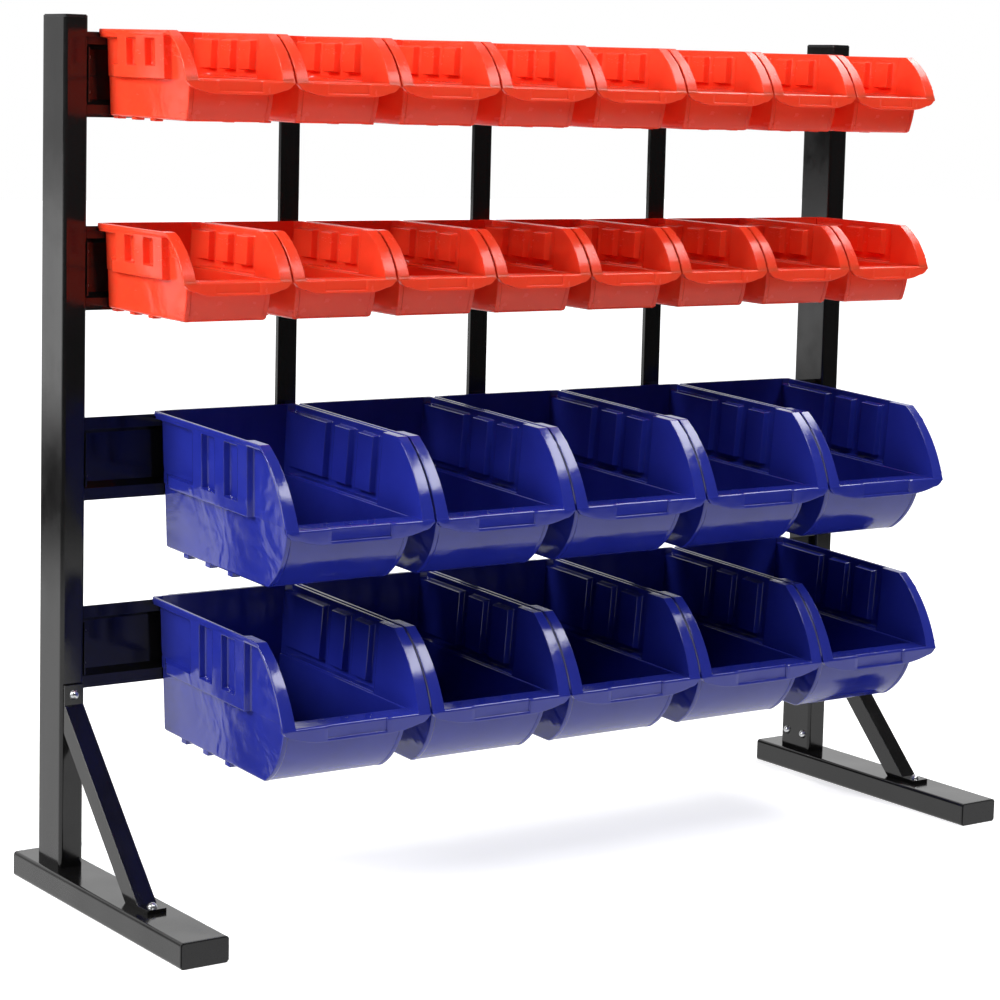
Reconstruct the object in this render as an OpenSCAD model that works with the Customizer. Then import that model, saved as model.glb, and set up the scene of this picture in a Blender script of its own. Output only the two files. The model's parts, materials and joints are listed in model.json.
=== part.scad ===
// Free-standing workshop bin rack: a bolted steel tube frame with four hanging rails,
// two rows of small red bins and two rows of large blue bins that lift off the rails.
// Millimetres, +Z up, X along the rack, the bins open towards -Y.
// The origin is on the floor, in the middle of the feet.

/* [Frame] */
// Clear width between the uprights
inner_w = 950; // [900:5:1150]
// Length of an upright above its foot
upright_l = 833; // [825:1:900]
// Narrow side of the steel tube
tube_w = 25; // [22:1:30]
// Wide side of the steel tube
tube_d = 50; // [46:1:60]
// Wall of the steel tube
tube_wall = 1.5; // [1:0.1:2.5]
// Outer corner radius of the steel tube
tube_r = 3.5; // [3:0.1:5]

/* [Feet] */
// Reach of a foot ahead of its upright
foot_front = 275; // [265:1:340]
// Reach of a foot behind its upright
foot_back = 30; // [20:1:80]
// Height of the spigot that an upright slips over
spigot_l = 42; // [36:1:60]
// Wall of the spigot
spigot_wall = 2; // [1.5:0.1:3]
// Height of the upright's bolts above the foot
foot_bolt_z = 19; // [16:1:24]
// Distance between the two bolts of an upright
foot_bolt_gap = 28; // [22:1:30]

/* [End caps] */
// Thickness of a cap's flange
cap_t = 3; // [2:0.1:5]
// Depth of a cap's plug inside the tube
cap_plug = 14; // [8:1:18]
// Wall of the cap's plug
cap_wall = 2; // [1.5:0.1:3]

/* [Rails] */
// Height of a rail
rail_h = 82; // [76:1:90]
// Sheet thickness of a rail
rail_t = 1.5; // [1.2:0.1:2.5]
// Height of the lips along the rail's top and bottom edges
rail_lip = 12; // [11:0.5:14]
// Depth of the web behind the lips
rail_web = 12; // [9:0.5:15]
// Height of the shoulder between a lip and the web
rail_shoulder = 5; // [3:0.5:6]
// Set-back of the rail's lips behind the front of the uprights
rail_set = 8; // [6:0.5:12]
// Distance between rails
rail_pitch = 187; // [180:1:195]
// Drop from the top of the uprights to the top rail
rail_drop = 13; // [10:1:18]
// Height of the rail's end flanges
end_flange_h = 52; // [48:1:54]
// Distance between the two bolts at a rail's end
rail_bolt_gap = 33; // [28:1:36]
// Distance of the rail's end bolts behind the front of the uprights
rail_bolt_y = 9; // [9:0.5:12]

/* [Back braces] */
// Width of a brace
brace_w = 22; // [18:1:30]
// Thickness of a brace
brace_t = 5; // [4:0.5:8]
// Distance of a brace's ends inside the outer edges of the rails
brace_inset = 8; // [4:1:20]

/* [Struts] */
// Width of a strut
strut_w = 20; // [18:1:22]
// Depth of a strut's tube
strut_d = 21; // [16:1:24]
// Thickness of a strut's flattened tabs
strut_tab = 4; // [3:0.5:5]
// Height of a strut's upper bolt above the foot
strut_bolt_z = 174; // [160:1:178]
// Distance of a strut's lower bolt ahead of the upright
strut_bolt_y = 171; // [150:1:200]
// Length of a tab from the bolt to its end
strut_end = 10; // [9:0.5:14]
// Length of a tab from the bolt to the bend
strut_bend = 10; // [9:0.5:14]

/* [Fasteners] */
// Diameter of the bolts
bolt_d = 6; // [5:0.5:6.5]
// Diameter of a bolt's head
head_d = 10; // [9:0.5:12]
// Height of a bolt's head
head_h = 4.2; // [3:0.1:4.5]
// Clearance around a bolt
bolt_play = 0.3; // [0.2:0.1:0.5]
// Width of a nut across its flats
nut_w = 10; // [9:0.5:11]
// Height of a nut
nut_h = 5; // [4:0.5:6]
// Length of thread past a nut
thread_over = 1.5; // [0.5:0.5:3]

/* [Bins] */
// Wall of a bin
bin_wall = 2; // [1.6:0.1:2.4]
// Draft of a bin's side walls in degrees
bin_draft = 2.4; // [1:0.1:3]
// Step of the side walls at the crease
bin_step = 1; // [0.5:0.1:1.5]
// Reach of the pressed side panel beyond the pockets
panel_out = 7.5; // [6:0.1:7.9]
// Reach of the rim bead beyond the side panel
rim_out = 0.9; // [0.6:0.1:1.3]
// Height of the rim bead
rim_t = 5.5; // [4:0.1:6]
// Reach of the front flange beyond the side walls
flange_out = 9; // [8.6:0.1:11]
// Thickness of the front flange
flange_t = 3.2; // [2.4:0.1:4]
// Set-back of the front flange's end behind the lip's face
edge_set = 1; // [0.6:0.1:2]
// Width of the ribs between the pockets
rib_w = 19.5; // [17:0.5:21]
// Depth of the pockets' tops below the rim
pocket_top = 8.5; // [7.5:0.5:11]
// Height of the band below the pockets
pocket_band = 10.5; // [8:0.5:12]
// Distance of the band below the pockets from the bin's back
panel_back = 10; // [6:0.5:14]
// Height of the front lip
lip_h = 16; // [14:0.5:17]
// Height of the front lip at its ends
lip_end = 10; // [10:0.2:11]
// Radius of the front lip's lower corners
lip_r = 9; // [6:0.5:9]
// Thickness of the front lip's plates
lip_t = 2.2; // [1.8:0.1:2.6]
// Depth of the label slot
slot_t = 2; // [1.5:0.1:2.5]
// Height of the ledge under the label slot
slot_ledge = 3; // [2:0.5:4]
// Length of a stacking lug
lug_l = 10.5; // [8:0.5:12]
// Distance of a stacking lug's middle behind a pocket's back edge
lug_set = 6.5; // [4:0.5:8]
// Height of a stacking lug
lug_h = 4; // [2:0.5:5]
// Width of a stacking lug
lug_w = 9; // [6:0.5:11]
// Distance of the lugs inside the bottom's side edges
lug_inset = 1; // [0.5:0.1:2]
// Space between bins side by side
bin_gap = 2.2; // [1.4:0.1:2.6]

/* [Hooks] */
// Thickness of the hook behind a bin
hook_t = 2.6; // [2:0.1:3]
// Depth of the hook behind the rail's lip
hook_drop = 9; // [7:0.5:9.5]
// Clearance between a hook and the rail's lip
hook_play = 0.8; // [0.5:0.1:1.2]
// Gap between a hung bin and the rail
seat_gap = 0.3; // [0.2:0.1:0.5]
// Distance of a hook's ends inside the rim's corners
hook_inset = 12; // [8:1:20]
// Depth of the hook's top below the rim
hook_sink = 0.4; // [0.3:0.1:1]

/* [Red bins] */
// Length of rail that a red row leaves free between the uprights
red_free = 14.6; // [13:0.2:38]
// Depth of a red bin from its back to its front lip
red_d = 181; // [174:1:188]
// Height of a red bin
red_h = 83.5; // [78:0.5:88]
// Depth of the red bin's crease and front lip below the rim
red_crease = 43.5; // [41:0.5:46]
// Length of the red bin's straight rim
red_rim_l = 142; // [137:1:146]
// Length of the red bin's pressed side panel
red_panel_l = 132; // [126:1:135]
// Length of the red bin's two narrow pockets
red_pocket_l = 18.5; // [15:0.5:20]
// Reach of the red bin's lip ahead of its front wall
red_reach = 17.5; // [14:0.5:20]
// Set-back of the red bin's front wall at the bottom
red_run = 7.5; // [5:0.5:14]
// Radius of the red bin's opening edge
red_open_r = 105; // [85:5:140]
// Slope of the hung red bin's rim in degrees
red_fall = 0.6; // [0:0.1:1.2]
// Offset of the red rows along the rails
red_shift = 6; // [-7:0.5:7]
// Width of the red bin's label slot
red_slot_w = 46; // [40:1:52]

/* [Blue bins] */
// Length of rail that a blue row leaves free between the uprights
blue_free = 122.2; // [112:0.2:190]
// Depth of a blue bin from its back to its front lip
blue_d = 267; // [258:1:274]
// Height of a blue bin
blue_h = 138; // [130:1:142]
// Depth of the blue bin's crease and front lip below the rim
blue_crease = 71.5; // [67:0.5:75]
// Length of the blue bin's straight rim
blue_rim_l = 212; // [204:1:218]
// Length of the blue bin's pressed side panel
blue_panel_l = 186; // [178:1:194]
// Length of the blue bin's two narrow pockets
blue_pocket_l = 25; // [21:0.5:28]
// Reach of the blue bin's lip ahead of its front wall
blue_reach = 21; // [16:0.5:24]
// Set-back of the blue bin's front wall at the bottom
blue_run = 38; // [30:1:44]
// Radius of the blue bin's opening edge
blue_open_r = 200; // [150:10:260]
// Slope of the hung blue bin's rim in degrees
blue_fall = 2.5; // [0:0.1:3]
// Offset of the blue rows along the rails
blue_shift = 16; // [-20:1:20]
// Width of the blue bin's label slot
blue_slot_w = 66; // [56:1:76]

/* [Hidden] */
$fn = 64;
// Overshoot of a cut past the surface it opens
over = 1;
// Bins in a red row and in a blue row
red_n = 8;
blue_n = 5;
rows = 4;
// Widths of a red and a blue bin across the front lip: the bins of a row share the rail evenly
red_w = (inner_w - red_free - (red_n - 1) * bin_gap) / red_n;
blue_w = (inner_w - blue_free - (blue_n - 1) * bin_gap) / blue_n;
// Depth of the front lip's round corners below the end of its rising edge
lip_sink = 0.4;
// Rise of the front lip's lower edge towards its ends
lip_rise = lip_h - lip_end;
// Clearance between a plug or spigot and the tube around it
slip = 0.3;
// Sides of a hexagonal nut
hex = 6;

// Frame positions
foot_h = tube_w;
front_y = (foot_front - foot_back - tube_d) / 2;
side_x = (inner_w + tube_w) / 2;
foot_l = foot_front + tube_d + foot_back;
foot_y = 0;
top_z = foot_h + upright_l;
bore_d = bolt_d + 2 * bolt_play;

// Rail positions, counted from the top
lip_y = front_y + rail_set;
web_y = lip_y + rail_web;
function rail_z(row) = top_z - rail_drop - rail_h / 2 - row * rail_pitch;
rail_bolts_z = [for (row = [0:rows - 1], side = [-1, 1]) rail_z(row) + side * rail_bolt_gap / 2];
brace_xs = [for (i = [-1:1]) i * inner_w / 4];
brace_top = rail_z(0) + rail_h / 2 - brace_inset;
brace_bottom = rail_z(rows - 1) - rail_h / 2 + brace_inset;
foot_bolts_y = [for (side = [-1, 1]) front_y + tube_d / 2 + side * foot_bolt_gap / 2];

// Bin positions: the rim's back edge in the middle of a hung bin
bin_y = lip_y - seat_gap;
function bin_z(row) = rail_z(row) + rail_h / 2 + seat_gap + hook_t + hook_sink;
function red_x(i) = red_shift + (i - (red_n - 1) / 2) * (red_w + bin_gap);
function blue_x(i) = blue_shift + (i - (blue_n - 1) / 2) * (blue_w + bin_gap);

// Names of the bins, counted from the top row and from the left
function bin_name(colour, row, i) = str(colour, "_bin_", row + 1, "_", i + 1);
red_names = [for (row = [0, 1], i = [0:red_n - 1]) bin_name("red", row, i)];
blue_names = [for (row = [2, 3], i = [0:blue_n - 1]) bin_name("blue", row, i)];

// Colours
paint = "#1c1c1e";
zinc = "#b9bcc0";
cap_black = "#141416";
red = "#f0321e";
blue = "#22249c";

// Centre of the arc of radius r from p forwards and down to q, on the side of the bin's inside
function arc_centre(p, q, r) =
    let (m = (p + q) / 2, c = q - p, half = norm(c) / 2)
    m + sqrt(r * r - half * half) * [-c.y, c.x] / norm(c);

// Rectangle with rounded corners, centred
module round_rect(w, d, r) {
    square([w - 2 * r, d], center = true);
    square([w, d - 2 * r], center = true);
    for (x = [-1, 1], y = [-1, 1])
        translate([x * (w / 2 - r), y * (d / 2 - r)])
            circle(r);
}

// Section of the steel tube, w along X and d along Y
module tube_section(w, d) {
    difference() {
        round_rect(w, d, tube_r);
        round_rect(w - 2 * tube_wall, d - 2 * tube_wall, tube_r - tube_wall);
    }
}

// Extrudes an outline drawn in (Y, Z) along X, centred
module along_x(w) {
    rotate([90, 0, 90])
        linear_extrude(w, center = true)
            children();
}

// Extrudes an outline drawn in (X, Z) from y = 0 towards the front
module to_front(l) {
    rotate([90, 0, 0])
        linear_extrude(l)
            children();
}

// Bolt along +Z with its head's seat at z = 0 and the head below it
module bolt(grip) {
    cylinder(d = bolt_d, h = grip + nut_h + thread_over);
    rotate_extrude()
        pan_head();
}

// Half outline of a low domed head under the plane z = 0
module pan_head() {
    crown_r = (head_d * head_d / 4 + head_h * head_h) / (2 * head_h);
    intersection() {
        translate([0, -head_h])
            square([head_d / 2, head_h]);
        translate([0, crown_r - head_h])
            circle(crown_r);
    }
}

// Hexagonal nut standing on z = 0
module nut() {
    difference() {
        cylinder(d = nut_w / cos(180 / hex), h = nut_h, $fn = hex);
        translate([0, 0, -over])
            cylinder(d = bore_d, h = nut_h + 2 * over);
    }
}

// Places of the bolts of the right-hand upright, each with its seat at z = 0 and its thread along +Z
module at_rail_bolts() {
    for (z = rail_bolts_z)
        translate([inner_w / 2, front_y + rail_bolt_y, z])
            rotate([0, 90, 0])
                children();
}

module at_foot_bolts() {
    for (y = foot_bolts_y)
        translate([inner_w / 2, y, foot_h + foot_bolt_z])
            rotate([0, 90, 0])
                children();
}

module at_strut_top() {
    translate([side_x, front_y, foot_h + strut_bolt_z])
        rotate([-90, 0, 0])
            children();
}

module at_strut_foot() {
    translate([side_x, front_y - strut_bolt_y, foot_h])
        rotate([180, 0, 0])
            children();
}

module at_brace_bolts() {
    for (x = brace_xs, row = [0:rows - 1])
        translate([x, web_y, rail_z(row)])
            rotate([-90, 0, 0])
                children();
}

// Draws the right-hand piece, or its mirror image on the left
module on_side(side) {
    if (side > 0)
        children();
    else
        mirror([1, 0, 0])
            children();
}

// Hole through a wall that a bolt passes, drilled along the bolt's thread
module drill(depth) {
    translate([0, 0, -over])
        cylinder(d = bore_d, h = depth + 2 * over);
}

module upright(side) {
    color(paint)
        on_side(side)
            difference() {
                translate([side_x, front_y + tube_d / 2, foot_h])
                    linear_extrude(upright_l)
                        tube_section(tube_w, tube_d);
                at_rail_bolts()
                    drill(tube_wall);
                at_foot_bolts()
                    drill(tube_wall);
                at_strut_top()
                    drill(tube_wall);
            }
}

module foot(side) {
    color(paint)
        on_side(side)
            difference() {
                translate([side_x, foot_y + foot_l / 2 - cap_t, foot_h / 2])
                    to_front(foot_l - 2 * cap_t)
                        tube_section(tube_d, tube_w);
                at_strut_foot()
                    drill(tube_wall);
            }
}

// Short tube welded on the foot, which the upright slips over
module spigot(side) {
    w = tube_w - 2 * (tube_wall + slip);
    d = tube_d - 2 * (tube_wall + slip);
    r = tube_r - tube_wall;
    color(paint)
        on_side(side)
            difference() {
                translate([side_x, front_y + tube_d / 2, foot_h])
                    linear_extrude(spigot_l)
                        difference() {
                            round_rect(w, d, r);
                            square([w - 2 * spigot_wall, d - 2 * spigot_wall], center = true);
                        }
                at_foot_bolts()
                    drill(tube_wall + slip + spigot_wall);
            }
}

// Side view of a strut: a tube cut off against the upright and the foot, with a tab on each
module strut_outline() {
    top = [-strut_tab, strut_bolt_z - strut_bend];
    low = [strut_bend - strut_bolt_y, strut_tab];
    run = (low - top) / norm(low - top);
    back = top + [-run.y, run.x] * strut_d;
    polygon([
        [0, strut_bolt_z + strut_end],
        [0, back.y - back.x * run.y / run.x],
        [back.x - back.y * run.x / run.y, 0],
        [-strut_bolt_y - strut_end, 0],
        [-strut_bolt_y - strut_end, strut_tab],
        low,
        top,
        [-strut_tab, strut_bolt_z + strut_end]
    ]);
}

module strut(side) {
    color(paint)
        on_side(side)
            difference() {
                translate([side_x, front_y, foot_h])
                    along_x(strut_w)
                        strut_outline();
                at_strut_top()
                    translate([0, 0, -strut_tab])
                        drill(strut_tab);
                at_strut_foot()
                    translate([0, 0, -strut_tab])
                        drill(strut_tab);
            }
}

// Side view of a rail's sheet: lips at the top and bottom, a web set back between them
module rail_outline() {
    lip_z = rail_h / 2 - rail_lip;
    web_z = lip_z - rail_shoulder;
    slant = rail_t * (norm([rail_web, rail_shoulder]) - rail_web) / rail_shoulder;
    face = [[0, rail_h / 2], [0, lip_z], [rail_web, web_z],
            [rail_web, -web_z], [0, -lip_z], [0, -rail_h / 2]];
    back = [[rail_t, -rail_h / 2], [rail_t, -lip_z - slant], [rail_web + rail_t, -web_z - slant],
            [rail_web + rail_t, web_z + slant], [rail_t, lip_z + slant], [rail_t, rail_h / 2]];
    polygon(concat(face, back));
}

// Rail between the uprights, with its web's ends bent forwards and bolted to them
module rail(row) {
    flange_y = rail_set + rail_web;
    color(paint)
        difference() {
            union() {
                translate([0, lip_y, rail_z(row)])
                    along_x(inner_w)
                        rail_outline();
                for (side = [-1, 1])
                    translate([side * (inner_w - rail_t) / 2, web_y - flange_y / 2, rail_z(row)])
                        cube([rail_t, flange_y, end_flange_h], center = true);
            }
            for (side = [-1, 1])
                on_side(side)
                    at_rail_bolts()
                        translate([0, 0, -rail_t])
                            drill(rail_t);
            at_brace_bolts()
                drill(rail_t);
        }
}

// Flat bar with rounded ends behind the webs of the rails
module brace(i) {
    color(paint)
        difference() {
            translate([brace_xs[i], web_y + rail_t + brace_t, (brace_top + brace_bottom) / 2])
                to_front(brace_t)
                    round_rect(brace_w, brace_top - brace_bottom, brace_w / 4);
            at_brace_bolts()
                translate([0, 0, rail_t])
                    drill(brace_t);
        }
}

// Plastic cap for a tube's end, its flange above z = 0 and its hollow plug below
module cap(w, d) {
    plug_w = w - 2 * (tube_wall + slip);
    plug_d = d - 2 * (tube_wall + slip);
    plug_r = tube_r - tube_wall;
    chamfer = cap_t / 3;
    linear_extrude(cap_t - chamfer)
        round_rect(w, d, tube_r);
    linear_extrude(cap_t)
        round_rect(w - 2 * chamfer, d - 2 * chamfer, tube_r - chamfer);
    translate([0, 0, -cap_plug])
        linear_extrude(cap_plug)
            difference() {
                round_rect(plug_w, plug_d, plug_r);
                square([plug_w - 2 * cap_wall, plug_d - 2 * cap_wall], center = true);
            }
}

module upright_cap(side) {
    color(cap_black)
        translate([side * side_x, front_y + tube_d / 2, top_z])
            cap(tube_w, tube_d);
}

// Cap in a foot's end: end is -1 at the front and 1 at the back
module foot_cap(side, end) {
    color(cap_black)
        translate([side * side_x, foot_y + end * (foot_l / 2 - cap_t), foot_h / 2])
            rotate([-end * 90, 0, 0])
                cap(tube_d, tube_w);
}

module rail_bolts() {
    color(zinc)
        for (side = [-1, 1])
            on_side(side)
                at_rail_bolts()
                    translate([0, 0, -rail_t])
                        bolt(rail_t + tube_wall);
}

module foot_bolts() {
    color(zinc)
        for (side = [-1, 1])
            on_side(side)
                at_foot_bolts()
                    bolt(tube_wall + slip + spigot_wall);
}

module strut_bolts() {
    color(zinc)
        for (side = [-1, 1])
            on_side(side) {
                at_strut_top()
                    translate([0, 0, -strut_tab])
                        bolt(strut_tab + tube_wall);
                at_strut_foot()
                    translate([0, 0, -strut_tab])
                        bolt(strut_tab + tube_wall);
            }
}

module brace_bolts() {
    color(zinc)
        at_brace_bolts()
            bolt(rail_t + brace_t);
}

module brace_nuts() {
    color(zinc)
        at_brace_bolts()
            translate([0, 0, rail_t + brace_t])
                nut();
}

// Nuts welded inside the tubes behind every bolt of the frame's joints
module weld_nuts() {
    color(zinc)
        for (side = [-1, 1])
            on_side(side) {
                at_rail_bolts()
                    translate([0, 0, tube_wall])
                        nut();
                at_foot_bolts()
                    translate([0, 0, tube_wall + slip + spigot_wall])
                        nut();
                at_strut_top()
                    translate([0, 0, tube_wall])
                        nut();
                at_strut_foot()
                    translate([0, 0, tube_wall])
                        nut();
            }
}

// Open-fronted bin with its rim level, the rim's back edge at the origin and the front towards -Y.
// w, d, h are its outer sizes, crease the depth of the side crease and of the front lip below the rim,
// rim_l and panel_l the lengths of the straight rim and of the pressed side panel, pocket_l that of the
// narrow pockets, reach the lip's overhang, run the set-back of the curved front wall at the bottom,
// open_r the radius of the opening's edge, fall the slope of the back wall and slot_w the width of the
// label slot.
module bin(w, d, h, crease, rim_l, panel_l, pocket_l, reach, run, open_r, fall, slot_w) {
    wall_x = w / 2 - flange_out;
    rim_x = wall_x + panel_out + rim_out;
    foot_x = wall_x - h * tan(bin_draft) - bin_step;
    back_run = h * tan(fall);
    front_l = d - reach;
    front_drop = h - crease;
    front_r = (run * run + front_drop * front_drop) / (2 * run);
    front_c = [-front_l + front_r, -crease];
    open_c = arc_centre([-rim_l, 0], [edge_set - d, -crease], open_r);
    rim_end = over - rim_l;
    back_pocket_l = panel_l - 3 * rib_w - 2 * pocket_l;
    pocket_fronts = [for (i = [0:2]) back_pocket_l + i * (rib_w + pocket_l)];
    pocket_backs = [-over, pocket_fronts[0] + rib_w, pocket_fronts[1] + rib_w];
    pocket_low = crease - pocket_band;

    // Half widths of the bin across the walls, drawn in by `inset`, down to z = -low
    module cross(inset, low) {
        crease_x = wall_x - crease * tan(bin_draft) - inset;
        low_x = foot_x + (h - low) * tan(bin_draft) - inset;
        top_x = wall_x + over * tan(bin_draft) - inset;
        right = [[top_x, over], [crease_x, -crease], [crease_x - bin_step, -crease], [low_x, -low]];
        left = [for (i = [3:-1:0]) [-right[i].x, right[i].y]];
        polygon(concat(right, left));
    }

    // Side view of the walls: the rim, the opening's edge, the curved front and the bottom
    module side() {
        polygon([[0, 0], [-back_run, -h], [front_c.x, -h],
                 [front_c.x, -crease], [rim_end, -crease], [rim_end, 0]]);
        intersection() {
            translate(front_c)
                circle(front_r);
            translate([-d, -h])
                square([d + front_c.x + over, front_drop]);
        }
        intersection() {
            translate(open_c)
                circle(open_r);
            translate([-d, -crease])
                square([d + rim_end + over, crease]);
        }
    }

    // Side view of the inside, open at the top and at the front above the lip
    module inside() {
        back_top = -bin_wall + over * tan(fall);
        floor_z = bin_wall - h;
        polygon([[back_top, over], [-bin_wall + floor_z * tan(fall), floor_z], [front_c.x, floor_z],
                 [front_c.x, -crease], [-d - over, -crease], [-d - over, over]]);
        intersection() {
            translate(front_c)
                circle(front_r - bin_wall);
            translate([-d, floor_z])
                square([d + front_c.x + over, -crease - floor_z + over]);
        }
    }

    // The pockets of the side panel and the cut behind its band, grown by `grow` on every side
    module pockets(grow) {
        for (i = [0:2])
            translate([-pocket_fronts[i] - grow, -pocket_low - grow])
                square([pocket_fronts[i] - pocket_backs[i] + 2 * grow, pocket_low - pocket_top + 2 * grow]);
        translate([-panel_back - grow, -crease - over])
            square([panel_back + 2 * over + 2 * grow, pocket_band + 2 * over]);
    }

    module outer() {
        intersection() {
            along_x(w)
                side();
            to_front(d)
                cross(0, h);
        }
        intersection() {
            along_x(w)
                difference() {
                    polygon([[0, 0], [-crease * tan(fall), -crease], [-panel_l, -crease], [-panel_l, 0]]);
                    pockets(0);
                }
            to_front(panel_l)
                cross(-panel_out, h);
        }
        along_x(2 * rim_x)
            polygon([[0, 0], [-rim_t * tan(fall), -rim_t], [rim_end, -rim_t], [rim_end, 0]]);
        along_x(w)
            opening_edge();
        front_lip();
    }

    // Flange that follows the opening's edge from the rim to the lip
    module opening_edge() {
        intersection() {
            difference() {
                translate(open_c)
                    circle(open_r);
                translate(open_c)
                    circle(open_r - flange_t);
            }
            translate([-d, -crease - lip_t / 2])
                square([d + rim_end + over, crease + lip_t / 2]);
        }
    }

    // Front view of the lip: straight under the label slot, then rising in an arc to a round corner
    module lip_outline() {
        end_x = w / 2 - lip_r;
        end_z = lip_r - lip_end - lip_sink;
        arc_l = end_x - slot_w / 2;
        arc_r = (arc_l * arc_l + lip_rise * lip_rise) / (2 * lip_rise);
        translate([-slot_w / 2, -lip_h])
            square([slot_w, lip_h]);
        for (side = [-1, 1])
            mirror([side < 0 ? 1 : 0, 0]) {
                intersection() {
                    translate([slot_w / 2, arc_r - lip_h])
                        circle(arc_r);
                    translate([slot_w / 2 - over, -lip_h])
                        square([arc_l + over, lip_h]);
                }
                translate([end_x, end_z])
                    circle(lip_r);
                translate([end_x - over, end_z])
                    square([lip_r + over, -end_z]);
            }
    }

    // Lip along the front: a shelf between the side walls and a skirt with a label slot
    module front_lip() {
        skirt_t = lip_t + slot_t;
        shelf_x = wall_x - crease * tan(bin_draft) - bin_step / 2;
        intersection() {
            union() {
                along_x(2 * shelf_x)
                    translate([-d, -crease - lip_t])
                        square([reach + bin_wall, lip_t]);
                along_x(w)
                    translate([-d, -crease - lip_h])
                        square([skirt_t, lip_h]);
            }
            difference() {
                translate([0, 0, -crease])
                    to_front(d)
                        lip_outline();
                translate([-slot_w / 2, -d - over, -crease - lip_h + slot_ledge])
                    cube([slot_w, slot_t + over, lip_h]);
            }
        }
    }

    // Small feet along the bottom edges, by which bins stack
    module lugs() {
        lug_x = foot_x - lug_inset - lug_w / 2;
        for (side = [-1, 1], front = pocket_fronts)
            translate([side * lug_x, pocket_l + lug_set - front, -h])
                cube([lug_w, lug_l, 2 * lug_h], center = true);
    }

    difference() {
        outer();
        intersection() {
            along_x(w)
                inside();
            to_front(d + over)
                cross(bin_wall, h);
        }
        intersection() {
            along_x(w)
                difference() {
                    translate([bin_wall - panel_l, bin_wall - crease])
                        square([panel_l - 2 * bin_wall - crease * tan(fall), crease - bin_wall + over]);
                    pockets(bin_wall);
                }
            to_front(panel_l)
                cross(bin_wall - panel_out, h);
        }
    }
    difference() {
        lugs();
        translate([-w / 2, -d, -h + bin_wall / 2])
            cube([w, d, lug_h]);
    }
}

// Hook along the back of a bin, over and behind the rail's upper lip
module hook(l) {
    back = seat_gap + rail_t + hook_play;
    translate([-l / 2, -bin_wall / 2, -hook_sink - hook_t])
        cube([l, bin_wall / 2 + back + hook_t, hook_t]);
    translate([-l / 2, back, -hook_sink - hook_t - hook_drop])
        cube([l, hook_t, hook_t + hook_drop]);
}

module red_bin(row, i) {
    color(red)
        translate([red_x(i), bin_y, bin_z(row)]) {
            rotate([red_fall, 0, 0])
                bin(red_w, red_d, red_h, red_crease, red_rim_l, red_panel_l, red_pocket_l,
                    red_reach, red_run, red_open_r, red_fall, red_slot_w);
            hook(red_w - 2 * flange_out - 2 * hook_inset);
        }
}

module blue_bin(row, i) {
    color(blue)
        translate([blue_x(i), bin_y, bin_z(row)]) {
            rotate([blue_fall, 0, 0])
                bin(blue_w, blue_d, blue_h, blue_crease, blue_rim_l, blue_panel_l, blue_pocket_l,
                    blue_reach, blue_run, blue_open_r, blue_fall, blue_slot_w);
            hook(blue_w - 2 * flange_out - 2 * hook_inset);
        }
}

upright(-1);  // left_upright
upright(1);  // right_upright
foot(-1);  // left_foot
foot(1);  // right_foot
spigot(-1);  // left_spigot
spigot(1);  // right_spigot
strut(-1);  // left_strut
strut(1);  // right_strut
rail(0);  // rail_1
rail(1);  // rail_2
rail(2);  // rail_3
rail(3);  // rail_4
brace(0);  // left_brace
brace(1);  // middle_brace
brace(2);  // right_brace
upright_cap(-1);  // left_upright_cap
upright_cap(1);  // right_upright_cap
foot_cap(-1, -1);  // left_front_foot_cap
foot_cap(-1, 1);  // left_back_foot_cap
foot_cap(1, -1);  // right_front_foot_cap
foot_cap(1, 1);  // right_back_foot_cap
rail_bolts();
foot_bolts();
strut_bolts();
brace_bolts();
weld_nuts();
brace_nuts();
for (row = [0, 1], i = [0:red_n - 1])
    red_bin(row, i);
for (row = [2, 3], i = [0:blue_n - 1])
    blue_bin(row, i);
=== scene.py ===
import json
import math

import bmesh
import bpy
from mathutils import Matrix, Vector


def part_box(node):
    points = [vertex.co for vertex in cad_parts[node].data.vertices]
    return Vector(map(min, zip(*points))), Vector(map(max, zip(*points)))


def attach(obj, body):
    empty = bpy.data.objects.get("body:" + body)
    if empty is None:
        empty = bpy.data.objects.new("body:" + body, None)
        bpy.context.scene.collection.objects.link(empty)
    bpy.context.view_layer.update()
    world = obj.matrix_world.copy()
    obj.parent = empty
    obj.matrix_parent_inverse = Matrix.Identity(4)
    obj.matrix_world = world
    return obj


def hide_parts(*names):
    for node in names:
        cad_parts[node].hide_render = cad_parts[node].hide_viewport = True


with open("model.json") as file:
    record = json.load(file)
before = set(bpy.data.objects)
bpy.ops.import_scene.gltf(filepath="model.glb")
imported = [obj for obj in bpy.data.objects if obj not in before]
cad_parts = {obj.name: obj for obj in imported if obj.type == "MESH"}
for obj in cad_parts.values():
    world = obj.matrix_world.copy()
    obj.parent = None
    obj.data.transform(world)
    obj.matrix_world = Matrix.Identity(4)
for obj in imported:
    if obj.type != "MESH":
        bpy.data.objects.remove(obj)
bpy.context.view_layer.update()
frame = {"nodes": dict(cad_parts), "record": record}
nodes = frame["nodes"]
MM = 0.001

# Material slot of each CAD node, and the bins' names
SLOT_OF = {s["node"]: s["material_slot"] for s in frame["record"]["subparts"]}
RED_BINS = sorted(n for n in nodes if n.startswith("red_bin"))
BLUE_BINS = sorted(n for n in nodes if n.startswith("blue_bin"))


# Node helpers

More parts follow.
